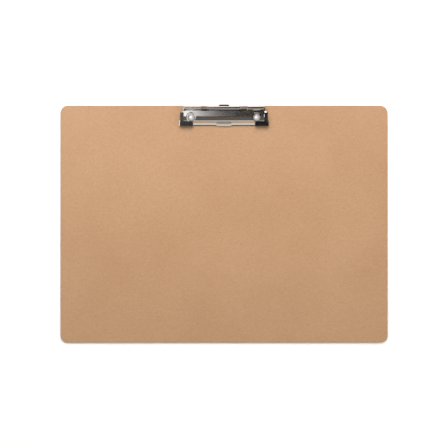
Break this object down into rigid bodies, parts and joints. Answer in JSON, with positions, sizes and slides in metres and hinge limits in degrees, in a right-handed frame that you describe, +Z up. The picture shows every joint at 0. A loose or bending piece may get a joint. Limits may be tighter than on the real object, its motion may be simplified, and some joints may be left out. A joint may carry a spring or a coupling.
{
  "type": "clipboard",
  "caption": "Landscape A3 hardboard clipboard with a low sprung metal clip that lifts at its front lip, black corner grips and a slide-out hanging tab.",
  "frame": {"origin": "middle of the board's underside, on the surface it lies on", "axes": "+X along the board's long side, +Y across the board towards the clip's edge, +Z up out of the writing face"},
  "size_m": [0.44, 0.3201, 0.0109],
  "materials": {
    "hardboard": "smooth tempered face",
    "bright_plate": "nickel-chrome plated",
    "tab_black": "black lacquered steel",
    "rod_steel": "drawn",
    "spring_steel": "drawn wire",
    "rivet_nickel": "nickel plated",
    "washer_zinc": "zinc plated",
    "grip_black": "glossy moulded vinyl"
  },
  "bodies": {
    "root": {"board": "hardboard", "base_plate": "bright_plate", "hinge_rod": "rod_steel", "spring_left": "spring_steel", "spring_right": "spring_steel", "rivet_left": "rivet_nickel", "rivet_right": "rivet_nickel", "rivet_washer_left": "washer_zinc", "rivet_washer_right": "washer_zinc"},
    "jaw": {"jaw_plate": "bright_plate", "corner_grip_left": "grip_black", "corner_grip_right": "grip_black", "lip_grip": "grip_black"},
    "tab": {"hanging_tab": "tab_black"}
  },
  "joints": [
    {"name": "jaw_lift", "type": "hinge", "parent": "root", "child": "jaw", "pos_m": [0, 0.15545, 0.0067], "axis": [-1, 0, 0], "range_deg": [0, 55], "stiffness_Nm_per_rad": 0.3, "springref_deg": -34.38, "deforming": ["spring_left", "spring_right"]},
    {"name": "hanging_tab_slide", "type": "slide", "parent": "root", "child": "tab", "axis": [0, 1, 0], "range_m": [0, 0.0124]}
  ]
}
